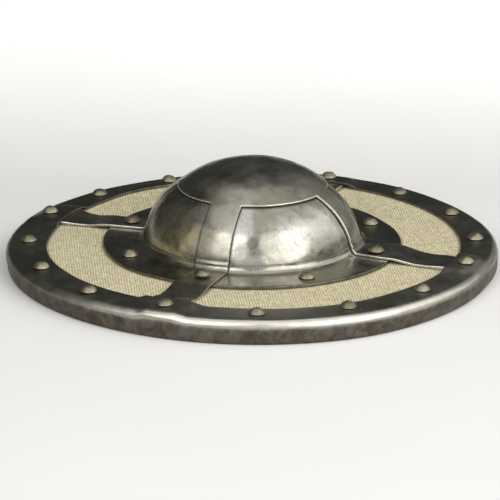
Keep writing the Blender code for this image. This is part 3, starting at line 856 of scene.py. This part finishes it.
def cross_base():
    """What the cross lies on, from the crown to under the rim, and how many points the cap has."""
    edge = share_at(CAP_RADIUS)
    cap = [dome_point(share) for share in evenly(0.0, edge, 46)]
    cap[0] = (0.0, cap[0][1])
    rounded = [CAP_RADIUS - CROSS_ROUND * k / EDGE_STEPS for k in range(EDGE_STEPS, 0, -1)]
    cap = cap[:-1] + [dome_point(share_at(r)) for r in rounded] + cap[-1:]
    wall = wall_path(edge, 40)[1:]
    step = FLANGE_RADIUS + JOGGLE_LEAD
    flange = [(r, FLANGE_TOP_Z) for r in evenly(wall[-1][0], step, 18)[1:]]
    drop = FLANGE_TOP_Z - CANVAS_TOP_Z
    joggle = [
        (r, FLANGE_TOP_Z - drop * smooth(r, step, step + JOGGLE_RUN))
        for r in evenly(step, step + JOGGLE_RUN, 10)[1:]
    ]
    flat = [(r, CANVAS_TOP_Z) for r in evenly(step + JOGGLE_RUN, ARM_END_RADIUS, 34)[1:]]
    return cap + wall + flange + joggle + flat, len(cap)


def edge_drop(inside):
    """How far a rounded edge lies below the face, at a distance in from the cut."""
    if inside >= CROSS_ROUND:
        return 0.0
    return CROSS_ROUND - math.sqrt(max(0.0, CROSS_ROUND ** 2 - (CROSS_ROUND - inside) ** 2))


def thinning(arm, r):
    """How much thinner than its full thickness the cross is."""
    cap = CAP_THINNED * smooth(r, CAP_RADIUS - CAP_THIN_RUN, CAP_RADIUS)
    along = cap + (ARM_THINNED[arm] - cap) * smooth(r, CAP_RADIUS, CAP_RADIUS + ARM_THIN_RUN)
    return along * (1 - smooth(r, *THICK_AGAIN))


def edge_rub_and_highlight(inside):
    """How much the rounded edge is rubbed bright, with a painted highlight, at a distance in from the cut.
    """
    return 1 - smooth(inside, 0.5 * CROSS_ROUND, 2.0 * CROSS_ROUND)


def across_arm(arm, r):
    """The angles across an arm, from its middle, close together near both edges."""
    near = math.asin(arm_half_width(arm, 0, r) / r)
    far = math.asin(arm_half_width(arm, 1, r) / r)
    rounds = [CROSS_ROUND * k / EDGE_STEPS / r for k in range(EDGE_STEPS + 1)]
    middle = evenly(-near + rounds[-1], far - rounds[-1], ARM_COLUMNS)[1:-1]
    return [-near + a for a in rounds] + middle + [far - a for a in rounds[::-1]]


def cap_angles():
    """The angles round the cap: across an arm, over the panel beside it, and so on."""
    angles = []
    for arm in range(ARMS):
        here = [ARM_TURN * arm + a for a in across_arm(arm, CAP_RADIUS)]
        following = ARM_TURN * (arm + 1) + across_arm((arm + 1) % ARMS, CAP_RADIUS)[0]
        angles += here + evenly(here[-1], following, PANEL_COLUMNS)[1:-1]
    return angles


class CrossSide:
    """The top or the underside of the cross: the rings of its cap, and arms that grow from the last."""

    def __init__(self, skin, base, cap_rows, top):
        self.skin, self.base, self.top = skin, base, top
        self.steps = side_steps(base, on_axis=True)
        angles = cap_angles()
        rings = [self.cap_ring(i, angles) for i in range(cap_rows)]
        skin.wrap(rings)
        self.edge = rings[-1]
        self.arms = [self.arm_rows(arm, cap_rows) for arm in range(ARMS)]

    def place(self, i, angle, thinned):
        r, z = self.base[i]
        depth = LAY_GAP + CROSS_SHEET - thinned if self.top else LAY_GAP
        if r > RIM_INNER_RADIUS:
            depth = min(depth, LAY_GAP + CROSS_SHEET * saddle_share(round(angle / ARM_TURN) % ARMS, r))
        d = depth + boss_dents(r, z, angle)
        return polar(r + self.steps[i][0] * d, z + self.steps[i][1] * d, angle)

    def row(self, i, arm, angles, insides):
        """Points over the i-th point of the base. insides are their distances in from the cut."""
        thin = thinning(arm, self.base[i][0])
        points = [self.place(i, a, edge_drop(inside) + thin) for a, inside in zip(angles, insides)]
        rub_and_highlight = [edge_rub_and_highlight(inside) * ARM_RUB_AND_HIGHLIGHT[arm] if self.top else 0.0 for inside in insides]
        return self.skin.row(points, rub_and_highlight=rub_and_highlight)

    def cap_ring(self, i, angles):
        r, z = self.base[i]
        if r < ON_AXIS:
            return self.skin.pole((0.0, 0.0, z + LAY_GAP + CROSS_SHEET * self.top), len(angles))
        insides = []
        for j, angle in enumerate(angles):
            first = j - j % TURN_POINTS
            on_arm = min(angle - angles[first], angles[first + ARM_POINTS - 1] - angle)
            insides.append(math.hypot(max(0.0, CAP_RADIUS - r), max(0.0, r * on_arm)))
        return self.row(i, 0, angles, insides)

    def arm_rows(self, arm, cap_rows):
        first = arm * TURN_POINTS
        rows = [self.edge[first:first + ARM_POINTS]]
        for i in range(cap_rows, len(self.base)):
            r = self.base[i][0]
            across = across_arm(arm, r)
            insides = [r * min(a - across[0], across[-1] - a) for a in across]
            rows.append(self.row(i, arm, [ARM_TURN * arm + a for a in across], insides))
        for near, far in zip(rows, rows[1:]):
            self.skin.strip(near, far)
        return rows


def make_cross(face, edge):
    """The round cap with four arms, one sheet dressed down over the boss."""
    base, cap_rows = cross_base()
    skin = Skin()
    low, high = (CrossSide(skin, base, cap_rows, top) for top in (False, True))
    for arm in range(ARMS):
        beside = arm * TURN_POINTS + ARM_POINTS - 1
        panel = [(beside + j) % len(low.edge) for j in range(PANEL_COLUMNS + 1)]
        skin.strip([low.edge[j] for j in panel], [high.edge[j] for j in panel], finish=EDGE)
        under, over = low.arms[arm], high.arms[arm]
        for side in (0, -1):
            skin.strip([row[side] for row in under], [row[side] for row in over], finish=EDGE)
        skin.strip(under[-1], over[-1], finish=EDGE)
    return finish_piece(skin.piece("cross_sheet", [face, edge]), "satin_steel", "cross")


# The rim

def saddle_rise(angle, r):
    """How far the rim is raised at a place, over the end of an arm."""
    turn = round(angle / ARM_TURN)
    off = (angle - ARM_TURN * turn) * r / MM
    inner_clockwise, inner_counter, outer, ramp_clockwise, ramp_counter, _ = SADDLES[turn % ARMS]
    inner, ramp = (inner_clockwise, ramp_clockwise) if off < 0 else (inner_counter, ramp_counter)
    half = inner + (outer - inner) * smooth(r, RIM_INNER_RADIUS, SADDLE_FALL[1])
    return SADDLE_RISE * saddle_share(turn % ARMS, r) * (1 - smooth(abs(off), half, half + ramp))


def out_of_round(angle, r, z):
    """How far the shield's outer side, and what is inside it, is moved outwards at a place."""
    lean = around(RIM_LEAN, angle) * (1 - smooth(z, 0.0, LEAN_HEIGHT))
    return (around(RIM_OUTER_WAVER, angle) - lean) * smooth(r, BAND_MIDDLE, SHIELD_RADIUS - RIM_LIP)


def rim_inner_edge(angle):
    return RIM_INNER_RADIUS + around(RIM_INNER_WAVER, angle)


def rim_shift(angle, r, z):
    """How far a point of the rim is moved outwards."""
    inner = around(RIM_INNER_WAVER, angle) * (1 - smooth(r, RIM_INNER_RADIUS + 1 * MM, BAND_MIDDLE))
    return inner + out_of_round(angle, r, z)


def rim_profile():
    """The rim's section: its outside from the inner edge round to the lip, and then its inside."""
    crest = (SHIELD_RADIUS - RIM_CREST, RIM_TOP_Z - RIM_CREST)
    heel = (SHIELD_RADIUS - RIM_HEEL, RIM_HEEL)
    lip = SHIELD_RADIUS - RIM_LIP
    round_in = RIM_INNER_RADIUS + EDGE_ROUND
    outside = arc((round_in, RIM_TOP_Z - EDGE_ROUND), EDGE_ROUND, 180, 90, EDGE_STEPS)
    outside += [(r, RIM_TOP_Z) for r in evenly(round_in, crest[0], 12)[1:-1]]
    outside += arc(crest, RIM_CREST, 90, 0, 16)
    outside += [(SHIELD_RADIUS, z) for z in evenly(crest[1], heel[1], 7)[1:-1]]
    outside += arc(heel, RIM_HEEL, 0, -90, 6)
    outside += [(lip, 0.0)]
    shoulder = (SHIELD_RADIUS - RIM_SHOULDER, RIM_TOP_Z - RIM_SHOULDER)
    inside = [(lip, RIM_SHEET), (SHIELD_RADIUS - RIM_SHEET, RIM_SHEET)]
    inside += arc(shoulder, RIM_SHOULDER - RIM_SHEET, 0, 90, 3)
    inside += [(r, RIM_TOP_Z - RIM_SHEET) for r in evenly(shoulder[0], RIM_INNER_RADIUS, 8)[1:]]
    return outside, inside


def rim_marks(r, z, columns):
    """How much one ring's crest is rubbed bright, partly a painted highlight, and its wall tarnished and
    painted with shade, for each column.
    """
    crest = smooth(r, *CREST_RUB_AND_HIGHLIGHT_R) * smooth(z, *CREST_RUB_AND_HIGHLIGHT_Z)
    rub_and_highlight, tarnish_and_shade = [], []
    for a in columns:
        # dullness by direction: partly tarnished steel, partly painted shade and a dimmer painted highlight
        # on the crest
        dull = by_direction(RIM_TARNISH_AND_SHADE, a)
        low, high = ((height + more * dull) * MM for height, more in TARNISH_AND_SHADE_HEIGHTS)
        rub_and_highlight.append(crest * (1 - dull))
        tarnish_and_shade.append(1 - smooth(z, low, high))
    return {"rub_and_highlight": rub_and_highlight, "tarnish_and_shade": tarnish_and_shade}


def rim_ring(r, z, step, columns):
    """The points of one ring: hammered, out of round, raised over the arms and sagging outwards."""
    lifts = smooth(z, RIM_HEEL, RIM_TOP_Z - RIM_SHOULDER)
    relief = smooth(z, 0.5 * MM, RIM_HEEL)
    points = []
    for a in columns:
        spot = polar(r, z, a)
        d = relief * MM * (0.16 * wave(spot, 34 * MM, 1.3) + 0.06 * wave(spot, 13 * MM, 5.9) - 0.08)
        sag = around(RIM_SAG, a) * smooth(r, BAND_MIDDLE, SHIELD_RADIUS) * lifts
        height = z + step[1] * d + saddle_rise(a, r) * lifts - sag
        points.append(polar(r + step[0] * d + rim_shift(a, r, z), height, a))
    return points


def make_rim(face, edge):
    """The rolled rim, dressed up over the ends of the arms."""
    outside, inside = rim_profile()
    steps = side_steps(outside) + [(0.0, 0.0)] * len(inside)
    columns = full_turn(840)
    skin = Skin()
    rows = []
    for (r, z), step in zip(outside + inside, steps):
        rows.append(skin.row(rim_ring(r, z, step, columns), **rim_marks(r, z, columns)))
    for i, (near, far) in enumerate(zip(rows, rows[1:] + rows[:1])):
        cut = i < EDGE_STEPS or i == len(rows) - 1
        skin.strip(near, far, around=True, finish=EDGE if cut else FACE)
    return finish_piece(skin.piece("rim", [face, edge]), "satin_steel", "rim_band")


# Rivets

def rivet_outline(head_radius, top_z, bottom_z):
    """A rivet's section from the middle of its tail to the middle of its head."""
    seat_z, tail_z = top_z - RIVET_HEAD_HEIGHT, BOARD_BACK_Z - LAY_GAP
    height = top_z - seat_z
    curve = (head_radius ** 2 + height ** 2) / (2 * height)
    low = math.degrees(math.asin((curve - height) / curve))
    head = arc((0.0, top_z - curve), curve, low + 4, 90, 13)
    head[-1] = (0.0, top_z)
    lip = [(head_radius - 0.5 * MM, seat_z), (head_radius - 0.1 * MM, seat_z + 0.15 * MM)]
    tail = [(0.0, bottom_z), (0.4 * RIVET_TAIL_RADIUS, bottom_z + 0.05 * MM)]
    tail += [(0.8 * RIVET_TAIL_RADIUS, bottom_z + 0.35 * MM), (RIVET_TAIL_RADIUS, tail_z - 0.1 * MM)]
    tail += [(RIVET_TAIL_RADIUS, tail_z), (RIVET_SHANK_RADIUS, tail_z), (RIVET_SHANK_RADIUS, seat_z)]
    return tail + lip + head


def make_rivet(node, seed, surface):
    """One hand-peened rivet. No two heads are quite alike."""
    low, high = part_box(node)
    centre = (low + high) / 2
    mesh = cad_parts[node].data
    head_radius = max(math.hypot(v.co.x - centre.x, v.co.y - centre.y) for v in mesh.vertices)
    columns = full_turn(40)
    lean = [RIVET_LEAN * wave((seed * 0.31, axis, 0.5), 1.0) for axis in (0.2, 3.7)]
    skin = Skin()
    rows = []
    for r, z in rivet_outline(head_radius, high.z, low.z):
        if r < ON_AXIS:
            rows.append(skin.pole((centre.x, centre.y, z), len(columns)))
            continue
        points = []
        up = smooth(z, high.z - 4.0 * MM, high.z - 2.5 * MM)
        for a in columns:
            x, y, _ = polar(r, z, a)
            uneven = RIVET_WAVER * (0.5 + wave((math.cos(a), math.sin(a), seed * 1.7), 1.1))
            share = 1 - uneven * smooth(r, 0, head_radius)
            facet = up * RIVET_FACETS * (wave((x + seed, y, z), 3.6 * MM) - 0.35)
            tip = up * (lean[0] * x + lean[1] * y)
            points.append((centre.x + x * share, centre.y + y * share, z + facet + tip))
        rows.append(skin.row(points))
    skin.wrap(rows)
    return finish_piece(skin.piece(f"{node}_peened", [surface], 60.0), "rivet_steel", node)


# Board, canvas and grip

def shifted_row(skin, columns, r, z):
    """A ring of points that goes along with the rim where that isn't round."""
    return skin.row([polar(r + out_of_round(a, r, z), z, a) for a in columns])


def make_canvas(surface):
    """The linen glued over the board's face, slightly uneven."""
    columns = full_turn(360)
    skin = Skin()
    rows = []
    for r in evenly(HOLE_RADIUS, CANVAS_RADIUS, 90):
        edge = smooth(min(r - HOLE_RADIUS, CANVAS_RADIUS - r), 0.0, 1 * MM)
        points, shaded_and_soiled = [], []
        for a in columns:
            spot = polar(r, CANVAS_TOP_Z, a)
            lift = edge * MM * (0.12 * wave(spot, 9 * MM, 2.0) + 0.06 * wave(spot, 3.4 * MM, 4.0))
            points.append(polar(r + out_of_round(a, r, CANVAS_TOP_Z), CANVAS_TOP_Z + lift, a))
            # painted shade with dirty deposits on the canvas along the flange, the rim and the cross
            flange_gap = r - FLANGE_RADIUS - around(FLANGE_WAVER, a)
            shaded_and_soiled.append(shade_and_dirt(min(flange_gap, rim_inner_edge(a) - r, open_width(r, a))))
        rows.append(skin.row(points, grime_and_shade=shaded_and_soiled))
    rows += [shifted_row(skin, columns, r, CANVAS_BACK_Z) for r in (CANVAS_RADIUS, HOLE_RADIUS)]
    skin.wrap(rows + rows[:1])
    piece = finish_piece(skin.piece("canvas", [surface], 60.0), "linen", "canvas_facing")
    return piece


def board_profile():
    """The board's section, from the hole's back edge over the face and round to the hole again."""
    back_round = (HOLE_RADIUS + HOLE_ROUND, BOARD_BACK_Z + HOLE_ROUND)
    return [
        (HOLE_RADIUS, BOARD_BACK_Z + HOLE_ROUND),
        (HOLE_RADIUS, BOARD_TOP_Z),
        (BOARD_RADIUS - BOARD_TOP_CHAMFER, BOARD_TOP_Z),
        (BOARD_RADIUS, BOARD_TOP_Z - BOARD_TOP_CHAMFER),
        (BOARD_RADIUS, BOARD_BACK_Z + BOARD_BACK_CHAMFER),
        (BOARD_RADIUS - BOARD_BACK_CHAMFER, BOARD_BACK_Z),
        *arc(back_round, HOLE_ROUND, 270, 180, 3)[:-1],
    ]


def cut_recess(piece):
    """Cuts the recess that the grip's ends lie in."""
    low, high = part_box("grip")
    size = (high.x - low.x + 2 * LAY_GAP, high.y - low.y + 2 * LAY_GAP, 2 * (GRIP_END + LAY_GAP))
    cutter = bmesh.new()
    place = Matrix.Translation((0.0, 0.0, BOARD_BACK_Z))
    bmesh.ops.create_cube(cutter, size=1.0, matrix=place @ Matrix.Diagonal((*size, 1.0)))
    mesh = bpy.data.meshes.new("recess_shape")
    cutter.to_mesh(mesh)
    cutter.free()
    tool = new_object("recess_shape", mesh)
    cut = piece.modifiers.new("recess", "BOOLEAN")
    cut.operation = "DIFFERENCE"
    cut.solver = "EXACT"
    cut.object = tool
    bake_modifiers(piece)
    bpy.data.objects.remove(tool)


def make_board(surface):
    """The wooden disc, with the hand hole and the recess for the grip."""
    columns = full_turn(240)
    skin = Skin()
    rows = [shifted_row(skin, columns, r, z) for r, z in board_profile()]
    skin.wrap(rows + rows[:1])
    piece = skin.piece("board_wood", [surface], 35.0)
    cut_recess(piece)
    return finish_piece(piece, "bare_wood", "board")


def bake_modifiers(piece):
    """Turns a piece's modifiers into its mesh."""
    graph = bpy.context.evaluated_depsgraph_get()
    mesh = bpy.data.meshes.new_from_object(piece.evaluated_get(graph))
    piece.modifiers.clear()
    piece.data = mesh
    mesh.shade_smooth()
    mesh.set_sharp_from_angle(angle=math.radians(35.0))


def grip_section(y, swell, half, thick):
    """The grip's outline at one place along it: square at the ends, rounded where it is thick."""
    share = 1 - smooth(abs(y), swell - GRIP_RISE, swell)
    height = GRIP_END + (thick - GRIP_END) * share
    low, high = BOARD_BACK_Z, BOARD_BACK_Z + height
    bevel = GRIP_EDGE + share * GRIP_BEVEL
    crown_in = GRIP_EDGE + share * (half - GRIP_CROWN_FLAT)
    crown_down = GRIP_EDGE + share * height * GRIP_CROWN_SHARE
    side = []
    for t in evenly(0, math.pi / 2, 5):
        side.append((half - bevel * (1 - math.sin(t)), low + bevel * (1 - math.cos(t))))
    for t in evenly(0, math.pi / 2, 12):
        side.append((half - crown_in * (1 - math.cos(t)), high - crown_down * (1 - math.sin(t))))
    return side + [(-x, z) for x, z in side[::-1]]


def make_grip(surface):
    """The wooden bar across the hand hole, worn smooth, with thin ends let into the board."""
    _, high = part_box("grip")
    half, end = high.x, high.y
    swell = math.sqrt(HOLE_RADIUS ** 2 - half ** 2) - GRIP_CLEARANCE
    skin = Skin()
    rows = []
    for y in evenly(-end, end, 130):
        worn = 1 - GRIP_WORN * (1 - smooth(abs(y), 0.0, GRIP_WORN_HALF))
        points = []
        for x, z in grip_section(y, swell, half, high.z - BOARD_BACK_Z):
            ripple = 0.12 * MM * wave((x, y, z), 12 * MM, 8.0)
            points.append((x * worn + (ripple if x > 0 else -ripple) * (worn < 0.999), y, z))
        rows.append(skin.row(points))
    skin.wrap(rows)
    for row in (rows[0], rows[-1]):
        skin.faces.append(list(row))
        skin.finishes.append(FACE)
    return finish_piece(skin.piece("grip_wood", [surface], 50.0), "oiled_wood", "grip")


# Stage

def toward(bearing_deg, elevation_deg, distance):
    """A point seen from the shield, bearing to the right of the camera's own, as the camera sees it."""
    bearing = CAMERA_BEARING + math.radians(bearing_deg)
    elevation = math.radians(elevation_deg)
    return Vector((
        distance * math.cos(elevation) * math.cos(bearing),
        distance * math.cos(elevation) * math.sin(bearing),
        distance * math.sin(elevation),
    ))


def add_camera():
    data = bpy.data.cameras.new("camera")
    data.lens = CAMERA_LENS
    data.sensor_width = 36.0
    data.shift_x, data.shift_y = CAMERA_SHIFT
    data.clip_start, data.clip_end = 0.1, 50.0
    camera = new_object("camera", data)
    back = toward(0.0, math.degrees(CAMERA_ELEVATION), 1.0)
    camera.location = Vector(CAMERA_AIM) + back * CAMERA_DISTANCE
    look = (-back).to_track_quat("-Z", "Y").to_matrix().to_4x4()
    turned = look @ Matrix.Rotation(CAMERA_ROLL, 4, "Z")
    camera.rotation_euler = turned.to_euler()
    bpy.context.scene.camera = camera


def add_area_light(name, width, height, power, colour, location, aim):
    data = bpy.data.lights.new(name, "AREA")
    data.shape = "RECTANGLE"
    data.size, data.size_y = width, height
    data.energy = power
    data.color = colour
    light = new_object(name, data)
    light.location = location
    light.rotation_euler = aim.to_track_quat("-Z", "Y").to_euler()


def add_softbox(name, bearing, elevation, distance, width, height, power, colour):
    """A rectangular light that faces the shield."""
    location = toward(bearing, elevation, distance)
    add_area_light(name, width, height, power, colour, location, -location)


def add_floor_wash():
    """A light behind the shield that faces away from it, for the floor beyond."""
    behind = toward(180.0, 0.0, 1.0)
    location = behind * WASH_BEHIND + Vector((0.0, 0.0, WASH_HEIGHT))
    aim = behind * math.cos(WASH_DOWN) - Vector((0.0, 0.0, math.sin(WASH_DOWN)))
    add_area_light("floor_wash", *WASH_SIZE, WASH_POWER, (1.0, 1.0, 1.0), location, aim)


def add_world():
    world = bpy.data.worlds.new("studio")
    world.use_nodes = True
    background = world.node_tree.nodes["Background"]
    background.inputs["Color"].default_value = (0.98, 1.0, 0.96, 1.0)
    background.inputs["Strength"].default_value = 0.06
    bpy.context.scene.world = world


def add_floor(surface):
    corners = [(-FLOOR_REACH, -FLOOR_REACH, 0.0), (FLOOR_REACH, -FLOOR_REACH, 0.0)]
    corners += [(FLOOR_REACH, FLOOR_REACH, 0.0), (-FLOOR_REACH, FLOOR_REACH, 0.0)]
    mesh = bpy.data.meshes.new("floor")
    mesh.from_pydata(corners, [], [(0, 1, 2, 3)])
    mesh.materials.append(surface)
    floor = new_object("floor", mesh)


def make_stage():
    add_camera()
    add_world()
    add_floor(pale_floor())
    for softbox in SOFTBOXES:
        add_softbox(*softbox)
    add_floor_wash()


def make_pieces():
    rubbed = cut_edge("rubbed_edge_steel", (0.74, 0.72, 0.65), (0.46, 0.44, 0.38))
    dull = cut_edge("dull_edge_steel", (0.24, 0.225, 0.18), (0.13, 0.12, 0.09))
    make_boss(boss_steel(), dull)
    make_cross(cross_steel(), rubbed)
    make_rim(rim_steel(), dull)
    peened = rivet_steel()
    rivets = sorted(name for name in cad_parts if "_rivet_" in name)
    for number, node in enumerate(rivets):
        make_rivet(node, float(number), peened)
    make_canvas(linen())
    make_board(wood("board_grain", (0.47, 0.31, 0.17), (0.25, 0.145, 0.07), 0.0, 0.68))
    make_grip(wood("grip_grain", (0.25, 0.13, 0.06), (0.10, 0.05, 0.025), 90.0, 0.50))


bpy.context.scene.view_settings.view_transform = "Standard"
make_stage()
make_pieces()
